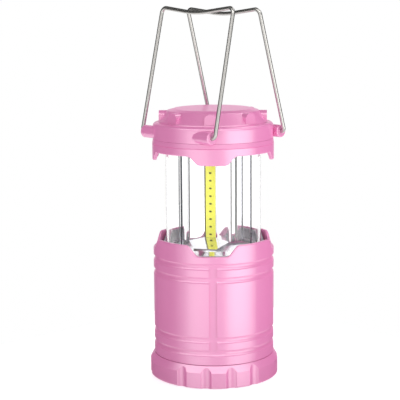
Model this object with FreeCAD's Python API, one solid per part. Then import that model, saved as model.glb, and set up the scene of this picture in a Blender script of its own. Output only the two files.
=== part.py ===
import FreeCAD, Part
import math
import os
from FreeCAD import Vector

# Pull-up camping lantern. Millimetres, +Z up, origin at the middle of the base cap's underside.
# The hinge lines of both wire handles run along X. The head is drawn pulled up.

# Shell and sleeve of the base
BODY_WALL = 2.0
RIM_ROUND = 0.9
LOBE_ROUND = 0.6
EDGE_ROUND = 0.3
SLEEVE_GAP = 1.4
SLEEVE_WALL = 1.4
LEDGE_THICKNESS = 2.0
LEDGE_WIDTH = 7.3
LIP_THICKNESS = 3.4
LIP_TO_SCALLOP = 0.9
SCALLOP_DEPTH = 7.5
SLEEVE_TOP_SETBACK = 0.8
SLEEVE_SCALLOP_WIDER = 4.0

# Four diagonal directions carry the lobes, scallops and upright grooves.
QUARTERS = (46.5, 136.5, 226.5, 316.5)
LOBE_ROOT_HALF = 15.8
LOBE_TIP_HALF = 10.0
LOBE_ROOT_ROUND = 4.0
LOBE_TIP_ROUND = 4.5
LOBE_SIDE_GAP = 0.8
LOBE_END_GAP = 1.4

# Grooves in the shell, the upper two measured down from the rim, the lower two up from its foot
UPPER_GROOVE_DROPS = (12.4, 21.65)
LOWER_GROOVE_RISES = (19.5, 10.4)
GROOVE_HEIGHT = 4.4
GROOVE_DEPTH = 0.85
GROOVE_STEP = 0.4
GROOVE_HOLLOW = 0.2
CHANNEL_WIDTH = 5.4
CHANNEL_DEPTH = 0.9

# Base cap and its bayonet
CAP_OVERHANG = 2.9
CAP_HEIGHT = 15.65
CAP_FLOOR = 2.5
CAP_GAP = 0.3
CAP_BEVEL_DROP = 4.7
CAP_BEVEL_IN = 2.6
CAP_FOOT_ROUND = 1.0
CAP_DISH_DEPTH = 0.8
CAP_DISH_MARGIN = 8.0
FLUTE_GROUP_COUNT = 3
FLUTE_GROUP_SIZE = 4
FLUTE_RADIUS = 5.0
FLUTE_DEPTH = 1.9
FLUTE_PITCH_ANGLE = 22.4
FLUTE_TURN_ANGLE = -38.7
NECK_INSET = 2.2
NECK_WALL = 2.6
NECK_FLOOR_GAP = 1.2
CAP_RUNNING_GAP = 0.35
LUG_COUNT = 3
LUG_DEPTH = 1.3
LUG_HEIGHT = 2.2
LUG_ANGLE = 8.0
LUG_LIFT = 6.0
BAYONET_TURN_ANGLE = 40.0
BAYONET_PLAY_ANGLE = 2.0
SEAL_WIRE = 1.6
SEAL_DROP = 1.2

# Cells, tray and contacts
CELL_RADIUS = 7.25
CELL_LENGTH = 49.5
CELL_TIP_RADIUS = 2.7
CELL_TIP_LENGTH = 1.0
CELL_PITCH = 15.3
CELL_PLAY = 0.3
TRAY_PLATE = 1.6
TRAY_EDGE_GAP = 0.3
TRAY_END_WALL = 1.4
TRAY_RIB = 1.6
TRAY_RIB_DROP = 2.8
CONTACT_SHEET = 0.4
CONTACT_WIDTH = 11.0
CELL_PACK_MARGIN = 2.3
COIL_WIRE = 0.8
COIL_LENGTH = 3.0
COIL_TURNS = 2
COIL_OUTER = 4.6
COIL_INNER = 2.0
COIL_SAMPLES = 48

# Sliding head
HEAD_TRAVEL = 60.2
CLOSING_GAP = 0.45
FLOOR_GAP = 0.9
SLIDE_GAP = 0.4
CARRIAGE_PLATE = 1.4
CARRIAGE_HEIGHT = 3.4
CARRIAGE_WALL = 3.8
TUBE_WALL = 1.6
TUBE_SEAT_GAP = 0.15
RAIL_WIDTH = 1.0
RAIL_PROUD = 0.5
RAIL_SUNK = 0.5
RAIL_SEAT_GAP = 0.04
RAIL_GAP = 0.5
RAIL_END_GAP = 0.3
RAIL_COUNT = 4
RAIL_TURN_ANGLE = 7.0
FLANGE_WIDTH = 1.5
FLANGE_THICKNESS = 1.8

# Pull-up switch
STUD_RADIUS = 0.7
STUD_HEAD_RADIUS = 1.1
STUD_HEAD = 0.4
STRIP_SHEET = 0.6
STRIP_WIDTH = 4.0
SWITCH_GAP = 0.1
LEAF_SHEET = 0.4
LEAF_WIDTH = 4.0
LEAF_TAIL = 4.0
SWITCH_ANGLES = (60, 240)
LEAD_RADIUS = 0.5
COLUMN_LEAD_OFFSET = 2.4

# Mirror column and lights, turned a little against the quarters
COLUMN_TURN_ANGLE = 3.0
WING_COUNT = 3
WING_REACH = 21.3
WING_SCREW_INSET = 7.05
WING_THICKNESS = 8.5
WING_SKIN = 1.4
WING_ROUND = 3.6
STRIP_FACE = 9.4
BOARD_THICKNESS = 1.0
BOARD_WIDTH = 7.2
BOARD_SEAT_GAP = 0.05
WIRE_SLOT = 0.9
PHOSPHOR_THICKNESS = 0.5
PHOSPHOR_WIDTH = 7.0
BOARD_FOOT_GAP = 0.1
BOARD_END_GAP = 1.0
PHOSPHOR_MARGIN = 0.8
FLOOR_PEAK_RISE = 14.1
FLOOR_SLOPE_ANGLE = 17.0
FLOOR_FRONT_WIDTH = 16.0
FLOOR_FRONT_INSET = 2.4
FLOOR_BROW_INSET = 5.2
FLOOR_BROW_RISE = 7.8
FLOOR_EDGE_RISE = 5.4
FLOOR_SKIN = 1.2
FLOOR_EDGE_GAP = 0.3
CEILING_THICKNESS = 1.5
CEILING_BOSS_WALL = 2.2
CEILING_BOSS_HEIGHT = 1.2
BOARD_DISC_RADIUS = 15.0
BOARD_DISC_THICKNESS = 1.6
CHIP_LENGTH = 6.4
CHIP_WIDTH = 3.2
CHIP_HEIGHT = 1.2
CHIP_OFFSET = 5.6
LEAD_HOLE = 4.2

# Skirt and top cap
SKIRT_HEIGHT = 8.45
SKIRT_BEVEL_HEIGHT = 3.3
SKIRT_WALL = 2.1
WEB_LIFT = 2.85
WEB_THICKNESS = 2.0
SEAM_GAP = 0.08
SEAM_ROUND = 0.15
SKIRT_LINE_HEIGHT = 0.4
SKIRT_LINE_DEPTH = 0.3
HEAD_STEP = 0.5
HEAD_WALL = 2.2
HEAD_SIDE_HEIGHT = 11.22
SHOULDER_ROUND = 2.6
SHOULDER_WIDTH = 4.1
CROWN_STEP = 0.6
CONE_HEIGHT = 7.5
CONE_WIDTH = 6.1
CROWN_BEVEL_HEIGHT = 1.3
CROWN_BEVEL_WIDTH = 5.0
CROWN_ROUND = 0.8
GRIP_COUNT = 8
GRIP_WIDTH = 8.6
GRIP_HEIGHT = 7.3
GRIP_ROUND = 3.6
GRIP_SETBACK = 0.35
GRIP_TURN_ANGLE = 0.0

# Ears and wire handles
EAR_STAND = 5.6
EAR_ANGLE = 43.5
EAR_RADIUS = 4.35
EAR_EDGE_ROUND = 0.8
EAR_LIFT = 4.42
WIRE_RADIUS = 1.35
PIN_GAP = 0.06
PIN_DEPTH = 6.0
PIN_END_GAP = 0.5
LEG_GAP = 1.45
LEG_DRAW_IN = 1.3
HANDLE_HEIGHT = 87.5
HANDLE_FOOT_ROUND = 2.6
HANDLE_CORNER_ROUND = 3.8
BAR_DIP = 4.2
BAR_DIP_ROUND = 100.0
FRONT_LEAN_ANGLE = 12.4
REAR_LEAN_ANGLE = 15.5

# Screws
SCREW_RADIUS = 1.1
SCREW_HEAD_RADIUS = 2.0
SCREW_HEAD = 1.4
SCREW_PLAY = 0.05
SCREW_BITE = 6.0
BOSS_WALL = 0.8
POST_WALL = 1.3

# Places that follow from the sizes above
LAP = 1.0
TOUCH = 1e-4
SEAM_SAMPLES = 7
FULL_TURN = 360.0
Z_AXIS = Vector(0, 0, 1)
ORIGIN = Vector(0, 0, 0)

cell_half = (CELL_LENGTH + CELL_TIP_LENGTH) / 2
sheet_face = cell_half + COIL_LENGTH
cell_pack_reach = math.hypot(sheet_face + CONTACT_SHEET, CELL_PITCH + CONTACT_WIDTH / 2)
neck_inner = cell_pack_reach + CELL_PACK_MARGIN
neck_radius = neck_inner + NECK_WALL
body_radius = neck_radius + NECK_INSET
cap_radius = body_radius + CAP_OVERHANG
shell_inner = body_radius - BODY_WALL
sleeve_outer = shell_inner - SLEEVE_GAP
sleeve_inner = sleeve_outer - SLEEVE_WALL
carriage_radius = sleeve_inner - SLIDE_GAP
tube_radius = carriage_radius - CARRIAGE_WALL
tube_inner = tube_radius - TUBE_WALL
lip_inner = tube_radius + RAIL_GAP
rail_radius = tube_radius + RAIL_PROUD
rail_angles = [RAIL_TURN_ANGLE + FULL_TURN / RAIL_COUNT * step for step in range(RAIL_COUNT)]
ledge_inner = shell_inner - LEDGE_WIDTH
cap_inner = neck_radius + CAP_RUNNING_GAP
tray_radius = neck_inner - TRAY_EDGE_GAP

body_foot = CAP_HEIGHT + CAP_GAP
seal_middle = body_foot - SEAL_DROP - SEAL_WIRE / 2
neck_foot = CAP_FLOOR + NECK_FLOOR_GAP
cell_axis = CAP_FLOOR + CELL_PLAY + CELL_RADIUS
tray_bottom = cell_axis + CELL_RADIUS + CELL_PLAY
tray_top = tray_bottom + TRAY_PLATE
ledge_top = tray_top + LEDGE_THICKNESS
strip_bottom = ledge_top + FLOOR_GAP + HEAD_TRAVEL
carriage_bottom = strip_bottom + STRIP_SHEET
carriage_floor = carriage_bottom + CARRIAGE_PLATE
carriage_top = carriage_bottom + CARRIAGE_HEIGHT
leaf_bottom = carriage_top + STUD_HEAD + SWITCH_GAP
lip_bottom = leaf_bottom + LEAF_SHEET
lip_top = lip_bottom + LIP_THICKNESS
scallop_bottom = lip_top + LIP_TO_SCALLOP
rim = scallop_bottom + SCALLOP_DEPTH

skirt_bottom = rim + HEAD_TRAVEL + CLOSING_GAP
skirt_top = skirt_bottom + SKIRT_HEIGHT
lobe_depth = SCALLOP_DEPTH - LOBE_END_GAP
web_bottom = skirt_bottom + WEB_LIFT
web_top = web_bottom + WEB_THICKNESS
ceiling_bottom = web_top + FLANGE_THICKNESS
ceiling_top = ceiling_bottom + CEILING_THICKNESS
flange_radius = tube_radius + FLANGE_WIDTH
head_radius = body_radius - HEAD_STEP
head_inner = head_radius - HEAD_WALL
head_bottom = skirt_top + SEAM_GAP
shoulder_top = head_bottom + HEAD_SIDE_HEIGHT
cone_foot_radius = head_radius - SHOULDER_WIDTH
cone_foot = shoulder_top + CROWN_STEP
cone_top_radius = cone_foot_radius - CONE_WIDTH
cone_top = cone_foot + CONE_HEIGHT
crown_radius = cone_top_radius - CROWN_BEVEL_WIDTH
crown = cone_top + CROWN_BEVEL_HEIGHT

ear_centre_radius = head_radius + EAR_STAND
ear_face = ear_centre_radius * math.cos(math.radians(EAR_ANGLE))
ear_offset = ear_centre_radius * math.sin(math.radians(EAR_ANGLE))
ear_height = head_bottom + EAR_LIFT
pin_bore = WIRE_RADIUS + PIN_GAP

strip_apothem = (WING_THICKNESS / 2) / math.sin(math.pi / 3) + (STRIP_FACE / 2) / math.tan(math.pi / 3)
board_back = strip_apothem - BOARD_THICKNESS
floor_peak = carriage_floor + FLOOR_PEAK_RISE
floor_brow = carriage_floor + FLOOR_BROW_RISE
floor_edge = carriage_floor + FLOOR_EDGE_RISE
floor_radius = tube_inner - FLOOR_EDGE_GAP
floor_brow_radius = floor_radius - FLOOR_BROW_INSET
floor_front = floor_brow_radius - FLOOR_FRONT_INSET
floor_plateau = strip_apothem + PHOSPHOR_THICKNESS
wing_angles = [COLUMN_TURN_ANGLE + FULL_TURN / WING_COUNT * step for step in range(WING_COUNT)]
light_angles = [angle + FULL_TURN / WING_COUNT / 2 for angle in wing_angles]

boss_radius = SCREW_RADIUS + BOSS_WALL
head_screw_circle = flange_radius + boss_radius + SCREW_PLAY
head_screw_angles = (0, 90, 180, 270)
post_radius = SCREW_RADIUS + POST_WALL
post_circle = (BOARD_DISC_RADIUS + flange_radius) / 2
post_angles = [angle + FULL_TURN / WING_COUNT / 2 for angle in wing_angles]
wing_screw_circle = WING_REACH - WING_SCREW_INSET
ceiling_boss_radius = wing_screw_circle - SCREW_HEAD_RADIUS - LAP
tray_screw_circle = (ledge_inner + neck_inner) / 2
tray_screw_angles = (0, 90, 180, 270)


def cylinder(radius, low, high, x=0.0, y=0.0):
    """Upright cylinder between two heights."""
    return Part.makeCylinder(radius, high - low, Vector(x, y, low))


def ring(inner, outer, low, high):
    """Upright ring between two radii and two heights."""
    return cylinder(outer, low, high).cut(cylinder(inner, low - LAP, high + LAP))


def block(x_low, x_high, y_low, y_high, z_low, z_high):
    """Box between two corners."""
    return Part.makeBox(x_high - x_low, y_high - y_low, z_high - z_low, Vector(x_low, y_low, z_low))


def turned_about_z(shape, angle):
    """Copy of a shape turned about the lantern's axis."""
    copy = shape.copy()
    copy.rotate(ORIGIN, Z_AXIS, angle)
    return copy


def copies_about_z(shape, angles):
    """Copies of a shape at the given angles round the lantern's axis."""
    return [turned_about_z(shape, angle) for angle in angles]


def at_angles(radius, angles):
    """Points at one radius, as (x, y) pairs."""
    turns = [math.radians(angle) for angle in angles]
    return [(radius * math.cos(turn), radius * math.sin(turn)) for turn in turns]


def rounded_edges(corners, closed):
    """Straight runs through (point, radius) corners, each corner rounded by a tangent arc."""
    count = len(corners)
    bends = []
    for index, (point, radius) in enumerate(corners):
        is_end = not closed and index in (0, count - 1)
        if radius == 0 or is_end:
            bends.append((point, None, point))
            continue
        back = (corners[index - 1][0] - point).normalize()
        ahead = (corners[(index + 1) % count][0] - point).normalize()
        half = back.getAngle(ahead) / 2
        reach = radius / math.tan(half)
        centre = point + (back + ahead).normalize() * (radius / math.sin(half))
        middle = centre + (point - centre).normalize() * radius
        bends.append((point + back * reach, middle, point + ahead * reach))
    edges = []
    for index, (entry, middle, leave) in enumerate(bends):
        if middle is not None:
            edges.append(Part.Arc(entry, middle, leave).toShape())
        if index == count - 1 and not closed:
            break
        following = bends[(index + 1) % count][0]
        if leave.distanceToPoint(following) > TOUCH:
            edges.append(Part.LineSegment(leave, following).toShape())
    return edges


def face_of(corners):
    """Flat face inside a closed outline of (point, radius) corners."""
    return Part.Face(Part.Wire(rounded_edges(corners, True)))


def spun(profile):
    """Solid of revolution from (radius, height, corner round) points."""
    corners = [(Vector(radius, 0, height), bend) for radius, height, bend in profile]
    return face_of(corners).revolve(ORIGIN, Z_AXIS, FULL_TURN)


def export(name, shape):
    """Write one node."""
    shape.exportStep("parts/" + name + ".step")


def group(shapes):
    """Several separate solids as one node."""
    return Part.makeCompound(shapes)


def lobe_prism(root_half, tip_half, top, bottom):
    """Tapered tongue along +X, hanging from a height, with rounded root and tip corners."""
    flank = root_half + 2 * LOBE_ROOT_ROUND
    outline = [
        (-flank, top + LAP, 0),
        (-flank, top, 0),
        (-root_half, top, LOBE_ROOT_ROUND),
        (-tip_half, bottom, LOBE_TIP_ROUND),
        (tip_half, bottom, LOBE_TIP_ROUND),
        (root_half, top, LOBE_ROOT_ROUND),
        (flank, top, 0),
        (flank, top + LAP, 0),
    ]
    inner = body_radius / 2
    corners = [(Vector(inner, across, height), bend) for across, height, bend in outline]
    return face_of(corners).extrude(Vector(body_radius, 0, 0))


def scallops(wider, deeper):
    """Cutters for the four scallops of the rim, made wider on both sides and deeper."""
    tongue = lobe_prism(
        LOBE_ROOT_HALF + LOBE_SIDE_GAP + wider,
        LOBE_TIP_HALF + LOBE_SIDE_GAP + wider,
        rim,
        scallop_bottom - deeper,
    )
    return copies_about_z(tongue, QUARTERS)


def groove_points(top):
    """Three points of a ring groove: its sharp upper edge, the hollow's middle and its lower end."""
    floor = body_radius - GROOVE_DEPTH
    step = Vector(floor, 0, top - GROOVE_STEP)
    hollow = Vector(floor - GROOVE_HOLLOW, 0, top - GROOVE_HEIGHT / 2)
    run_out = Vector(body_radius, 0, top - GROOVE_HEIGHT)
    return step, hollow, run_out


def grooved_wall(tops):
    """Edges of the shell's outer wall, from the rim down to its foot."""
    edges = []
    last = Vector(body_radius, 0, rim)
    for top in sorted(tops, reverse=True):
        step, hollow, run_out = groove_points(top)
        edge = Vector(body_radius, 0, top)
        edges.append(Part.LineSegment(last, edge).toShape())
        edges.append(Part.LineSegment(edge, step).toShape())
        edges.append(Part.Arc(step, hollow, run_out).toShape())
        last = run_out
    edges.append(Part.LineSegment(last, Vector(body_radius, 0, body_foot)).toShape())
    return edges


def outer_edges(shape, low, high):
    """Edges on the lantern's outer wall between two heights."""
    found = []
    for edge in shape.Edges:
        points = edge.discretize(SEAM_SAMPLES)
        radii = [math.hypot(point.x, point.y) for point in points]
        heights = [point.z for point in points]
        on_wall = max(abs(radius - body_radius) for radius in radii) < TOUCH
        seam = abs(points[0].x - points[-1].x) + abs(points[0].y - points[-1].y) < TOUCH
        if on_wall and not seam and low < min(heights) and max(heights) < high:
            found.append(edge)
    return found


def bayonet_grooves():
    """Cutters for the L-shaped ways of the cap's lugs in the neck."""
    low = LUG_LIFT - CAP_RUNNING_GAP
    high = LUG_LIFT + LUG_HEIGHT + CAP_RUNNING_GAP
    floor = cap_inner - LUG_DEPTH - CAP_RUNNING_GAP
    wide = LUG_ANGLE + 2 * BAYONET_PLAY_ANGLE
    start = -wide / 2 - BAYONET_TURN_ANGLE
    sweep = ring_sector(floor, neck_radius + LAP, low, high, wide + BAYONET_TURN_ANGLE, start)
    entry = ring_sector(floor, neck_radius + LAP, neck_foot - LAP, high, wide, start)
    way = sweep.fuse(entry)
    return copies_about_z(way, [FULL_TURN / LUG_COUNT * step for step in range(LUG_COUNT)])


def ring_sector(inner, outer, low, high, span, start):
    """Part of a ring that spans an angle from a start angle."""
    wedge = Part.makeCylinder(outer, high - low, Vector(0, 0, low), Z_AXIS, span)
    wedge = wedge.cut(cylinder(inner, low - LAP, high + LAP))
    return turned_about_z(wedge, start)


def supply_lead_places():
    """Where the two supply leads run between sleeve and shell."""
    return at_angles((sleeve_outer + shell_inner) / 2, SWITCH_ANGLES)


def make_body_shell():
    """Outer tube of the base with its neck, ledge, scalloped rim and grooves."""
    upper = [rim - drop for drop in UPPER_GROOVE_DROPS]
    lower = [body_foot + rise for rise in LOWER_GROOVE_RISES]
    inside = [
        (body_radius, body_foot),
        (neck_radius, body_foot),
        (neck_radius, neck_foot),
        (neck_inner, neck_foot),
        (neck_inner, tray_top),
        (ledge_inner, tray_top),
        (ledge_inner, ledge_top),
        (shell_inner, ledge_top),
        (shell_inner, rim),
        (body_radius, rim),
    ]
    corners = [(Vector(radius, 0, height), 0) for radius, height in inside]
    outline = grooved_wall(upper + lower) + rounded_edges(corners, False)
    shell = Part.Face(Part.Wire(outline)).revolve(ORIGIN, Z_AXIS, FULL_TURN)
    channel = block(
        body_radius - CHANNEL_DEPTH,
        body_radius + LAP,
        -CHANNEL_WIDTH / 2,
        CHANNEL_WIDTH / 2,
        min(lower) - GROOVE_HEIGHT / 2,
        max(upper) - GROOVE_HEIGHT / 2,
    )
    shell = shell.cut(scallops(0, 0))
    shell = shell.makeFillet(RIM_ROUND, outer_edges(shell, scallop_bottom - LAP, rim + LAP))
    cutters = copies_about_z(channel, QUARTERS)
    cutters += bayonet_grooves()
    seal_way = ring(
        cap_inner - SEAL_WIRE,
        neck_radius + LAP,
        seal_middle - SEAL_WIRE / 2,
        seal_middle + SEAL_WIRE / 2,
    )
    cutters.append(seal_way)
    for x, y in at_angles(tray_screw_circle, tray_screw_angles):
        cutters.append(cylinder(SCREW_RADIUS + SCREW_PLAY, tray_top - LAP, ledge_top + LAP, x, y))
    for x, y in supply_lead_places():
        cutters.append(cylinder(LEAD_RADIUS + SCREW_PLAY, tray_top - LAP, ledge_top + LAP, x, y))
    return shell.cut(cutters)


def make_inner_sleeve():
    """Dark guide tube with the stop lip that keeps the carriage in."""
    sleeve = spun([
        (sleeve_outer, ledge_top, 0),
        (sleeve_outer, rim - SLEEVE_TOP_SETBACK, 0),
        (sleeve_inner, rim - SLEEVE_TOP_SETBACK, 0),
        (sleeve_inner, lip_top, 0),
        (lip_inner, lip_top, 0),
        (lip_inner, lip_bottom, 0),
        (sleeve_inner, lip_bottom, 0),
        (sleeve_inner, ledge_top, 0),
    ])
    notch = block(
        0,
        rail_radius + RAIL_GAP,
        -RAIL_WIDTH / 2 - RAIL_GAP,
        RAIL_WIDTH / 2 + RAIL_GAP,
        lip_bottom - LAP,
        lip_top + LAP,
    )
    slot = block(
        sleeve_inner - LAP,
        sleeve_outer + LAP,
        -LEAF_WIDTH / 2 - SCREW_PLAY,
        LEAF_WIDTH / 2 + SCREW_PLAY,
        leaf_bottom,
        lip_bottom,
    )
    cutters = copies_about_z(notch, rail_angles)
    cutters += copies_about_z(slot, SWITCH_ANGLES)
    cutters += scallops(SLEEVE_SCALLOP_WIDER, LIP_TO_SCALLOP / 2)
    return sleeve.cut(cutters)


def make_leaf_contacts():
    """Two leaf contacts under the sleeve's lip, each with a tail outside the sleeve."""
    tail_face = sleeve_outer + SCREW_PLAY
    half = LEAF_WIDTH / 2
    pad = block(lip_inner + RAIL_GAP, tail_face + LEAF_SHEET, -half, half, leaf_bottom, lip_bottom)
    tail = block(tail_face, tail_face + LEAF_SHEET, -half, half, lip_bottom - LEAF_TAIL, lip_bottom)
    leaf = pad.fuse(tail).removeSplitter()
    return group(copies_about_z(leaf, SWITCH_ANGLES))


def make_supply_leads():
    """Two insulated leads from the tray up to the leaf contacts."""
    top = lip_bottom - LEAF_TAIL
    return group([cylinder(LEAD_RADIUS, tray_top, top, x, y) for x, y in supply_lead_places()])


def cell_rows():
    """Sideways place and direction of each cell, turned end for end in turn."""
    return [(-CELL_PITCH, 1), (0.0, -1), (CELL_PITCH, 1)]


def make_battery_tray():
    """Tray plate under the ledge with end walls and ribs that hold the cells."""
    tray = cylinder(tray_radius, tray_bottom, tray_top)
    wall_start = sheet_face + CONTACT_SHEET
    wall_half = CELL_PITCH + CELL_RADIUS
    for side in (-1, 1):
        ends = sorted((side * wall_start, side * (wall_start + TRAY_END_WALL)))
        wall = block(ends[0], ends[1], -wall_half, wall_half, neck_foot, tray_bottom + TRAY_PLATE / 2)
        tray = tray.fuse(wall.common(cylinder(tray_radius, neck_foot, tray_top)))
        middle = side * CELL_PITCH / 2
        rib = block(
            -cell_half,
            cell_half,
            middle - TRAY_RIB / 2,
            middle + TRAY_RIB / 2,
            tray_bottom - TRAY_RIB_DROP,
            tray_bottom + TRAY_PLATE / 2,
        )
        tray = tray.fuse(rib)
    cutters = []
    for x, y in at_angles(tray_screw_circle, tray_screw_angles):
        cutters.append(cylinder(SCREW_RADIUS + SCREW_PLAY, tray_bottom - LAP, tray_top + LAP, x, y))
    return tray.cut(cutters).removeSplitter()


def make_tray_screws():
    """Four screws that hold the tray up against the ledge."""
    screws = []
    for x, y in at_angles(tray_screw_circle, tray_screw_angles):
        head = cylinder(SCREW_HEAD_RADIUS, tray_bottom - SCREW_HEAD, tray_bottom, x, y)
        shank = cylinder(SCREW_RADIUS, tray_bottom - SCREW_HEAD, ledge_top, x, y)
        screws.append(head.fuse(shank).removeSplitter())
    return group(screws)


def make_cells():
    """Three cells lying flat, each with its raised tip."""
    cells = []
    for across, way in cell_rows():
        start = Vector(-way * cell_half, across, cell_axis)
        can = Part.makeCylinder(CELL_RADIUS, CELL_LENGTH, start, Vector(way, 0, 0))
        tip_length = CELL_LENGTH + CELL_TIP_LENGTH
        tip = Part.makeCylinder(CELL_TIP_RADIUS, tip_length, start, Vector(way, 0, 0))
        cells.append(can.fuse(tip).removeSplitter())
    return group(cells)


def make_contact_sheets():
    """Flat contacts on the tray's end walls, with a block that reaches each cell's tip."""
    sheets = []
    for across, way in cell_rows():
        for side in (-1, 1):
            near = sheet_face
            ends = sorted((side * near, side * (near + CONTACT_SHEET)))
            sheet = block(
                ends[0],
                ends[1],
                across - CONTACT_WIDTH / 2,
                across + CONTACT_WIDTH / 2,
                cell_axis - CONTACT_WIDTH / 2,
                cell_axis + CONTACT_WIDTH / 2,
            )
            if side == way:
                start = Vector(side * (cell_half + CELL_PLAY), across, cell_axis)
                reach = COIL_LENGTH - CELL_PLAY
                stud = Part.makeCylinder(CELL_TIP_RADIUS, reach, start, Vector(side, 0, 0))
                sheet = sheet.fuse(stud).removeSplitter()
            sheets.append(sheet)
    return group(sheets)


def coil_point(turn):
    """Point of the cone-shaped coil contact at a number of turns, along +X from its wide end."""
    share = turn / COIL_TURNS
    radius = COIL_OUTER + (COIL_INNER - COIL_OUTER) * share
    rise = COIL_WIRE / 2 + (COIL_LENGTH - COIL_WIRE - CELL_PLAY) * share
    angle = 2 * math.pi * turn
    return Vector(rise, radius * math.cos(angle), radius * math.sin(angle))


def make_coil_contacts():
    """Three cone-shaped coil contacts behind the cells' flat ends."""
    steps = 4 * COIL_TURNS
    arcs = []
    for step in range(steps):
        arcs.append(Part.Arc(
            coil_point(step / 4),
            coil_point((step + 0.5) / 4),
            coil_point((step + 1) / 4),
        ).toShape())
    path = Part.Wire(arcs)
    first = arcs[0]
    heading = first.tangentAt(first.FirstParameter)
    section = Part.Wire(Part.makeCircle(COIL_WIRE / 2, coil_point(0), heading))
    coil = path.makePipeShell([section], True, False)
    coils = []
    for across, way in cell_rows():
        copy = coil.copy()
        if way < 0:
            copy.rotate(ORIGIN, Z_AXIS, FULL_TURN / 2)
        copy.translate(Vector(-way * sheet_face, across, cell_axis))
        coils.append(copy)
    return group(coils)


def coil_self_gap():
    """Least gap between neighbouring turns of a coil contact."""
    last = COIL_SAMPLES * COIL_TURNS
    points = [coil_point(step / COIL_SAMPLES) for step in range(last + 1)]
    gaps = []
    for index, point in enumerate(points):
        for other in points[index + COIL_SAMPLES // 2:]:
            gaps.append(point.distanceToPoint(other) - COIL_WIRE)
    return min(gaps)


def make_base_cap():
    """Fluted twist cap with bayonet lugs and a dished underside."""
    dish = cap_radius - CAP_DISH_MARGIN
    cap = spun([
        (0, CAP_DISH_DEPTH, 0),
        (dish, CAP_DISH_DEPTH, EDGE_ROUND),
        (dish, 0, EDGE_ROUND),
        (cap_radius, 0, CAP_FOOT_ROUND),
        (cap_radius, CAP_HEIGHT - CAP_BEVEL_DROP, EDGE_ROUND),
        (cap_radius - CAP_BEVEL_IN, CAP_HEIGHT, EDGE_ROUND),
        (cap_inner, CAP_HEIGHT, EDGE_ROUND),
        (cap_inner, CAP_FLOOR, EDGE_ROUND),
        (0, CAP_FLOOR, 0),
    ])
    flute = cylinder(
        FLUTE_RADIUS,
        -LAP,
        CAP_HEIGHT + LAP,
        cap_radius - FLUTE_DEPTH + FLUTE_RADIUS,
    )
    groups = [FLUTE_TURN_ANGLE + FULL_TURN / FLUTE_GROUP_COUNT * step for step in range(FLUTE_GROUP_COUNT)]
    half_span = FLUTE_PITCH_ANGLE * (FLUTE_GROUP_SIZE - 1) / 2
    places = [FLUTE_PITCH_ANGLE * step - half_span for step in range(FLUTE_GROUP_SIZE)]
    cap = cap.cut(copies_about_z(flute, [turn + place for turn in groups for place in places]))
    lug = ring_sector(
        cap_inner - LUG_DEPTH,
        cap_inner + LAP,
        LUG_LIFT,
        LUG_LIFT + LUG_HEIGHT,
        LUG_ANGLE,
        -LUG_ANGLE / 2,
    )
    lugs = copies_about_z(lug, [FULL_TURN / LUG_COUNT * step for step in range(LUG_COUNT)])
    return cap.fuse(lugs).removeSplitter()


def make_seal_ring():
    """Round sealing ring in the neck's groove."""
    section = SEAL_WIRE / 2 - SCREW_PLAY
    return Part.makeTorus(cap_inner - SEAL_WIRE / 2 - SCREW_PLAY, section, Vector(0, 0, seal_middle))


def make_carriage():
    """Cup that closes the tube's lower end and slides in the sleeve."""
    cup = cylinder(carriage_radius, carriage_bottom, carriage_top)
    cup = cup.cut(cylinder(tube_radius + TUBE_SEAT_GAP, carriage_floor, carriage_top + LAP))
    cutters = []
    for x, y in at_angles(stud_circle(), SWITCH_ANGLES):
        cutters.append(cylinder(STUD_RADIUS + SCREW_PLAY, carriage_bottom - LAP, carriage_top + LAP, x, y))
    cutters.append(cylinder(LEAD_HOLE, carriage_bottom - LAP, carriage_floor + LAP))
    return cup.cut(cutters)


def stud_circle():
    """Radius at which the contact studs stand, in the middle of the carriage's wall."""
    return (carriage_radius + tube_radius + TUBE_SEAT_GAP) / 2


def make_contact_studs():
    """Two contact studs through the carriage's wall."""
    studs = []
    for x, y in at_angles(stud_circle(), SWITCH_ANGLES):
        shank = cylinder(STUD_RADIUS, carriage_bottom, carriage_top + STUD_HEAD, x, y)
        head = cylinder(STUD_HEAD_RADIUS, carriage_top, carriage_top + STUD_HEAD, x, y)
        studs.append(shank.fuse(head).removeSplitter())
    return group(studs)


def make_contact_strips():
    """Two flat strips under the carriage, from the studs in to the column leads."""
    strip = block(
        COLUMN_LEAD_OFFSET - LEAD_RADIUS,
        stud_circle() + STUD_RADIUS,
        -STRIP_WIDTH / 2,
        STRIP_WIDTH / 2,
        strip_bottom,
        carriage_bottom,
    )
    return group(copies_about_z(strip, SWITCH_ANGLES))


def make_column_leads():
    """Two leads inside the column, from the contact strips up to the driver board."""
    places = at_angles(COLUMN_LEAD_OFFSET, SWITCH_ANGLES)
    return group([cylinder(LEAD_RADIUS, carriage_bottom, board_bottom(), x, y) for x, y in places])


def board_bottom():
    """Underside of the driver board, on the ceiling's boss."""
    return ceiling_top + CEILING_BOSS_HEIGHT


def make_clear_tube():
    """Clear tube with a top flange and a seat for each guide rail."""
    tube = spun([
        (tube_inner, carriage_floor, 0),
        (tube_radius, carriage_floor, 0),
        (tube_radius, web_top, 0),
        (flange_radius, web_top, 0),
        (flange_radius, ceiling_bottom, 0),
        (tube_inner, ceiling_bottom, 0),
    ])
    groove = rail_bar(RAIL_SUNK + RAIL_SEAT_GAP, RAIL_WIDTH + 2 * RAIL_SEAT_GAP)
    return tube.cut(copies_about_z(groove, rail_angles))


def rail_bar(sunk, width):
    """Upright bar along the tube's outer wall, sunk into it by the given depth."""
    return block(
        tube_radius - sunk,
        rail_radius,
        -width / 2,
        width / 2,
        carriage_top + RAIL_END_GAP,
        web_bottom - RAIL_END_GAP,
    )


def make_guide_rails():
    """Four metal rails in the tube's outer wall that run in the lip's notches."""
    return group(copies_about_z(rail_bar(RAIL_SUNK, RAIL_WIDTH), rail_angles))


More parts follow.
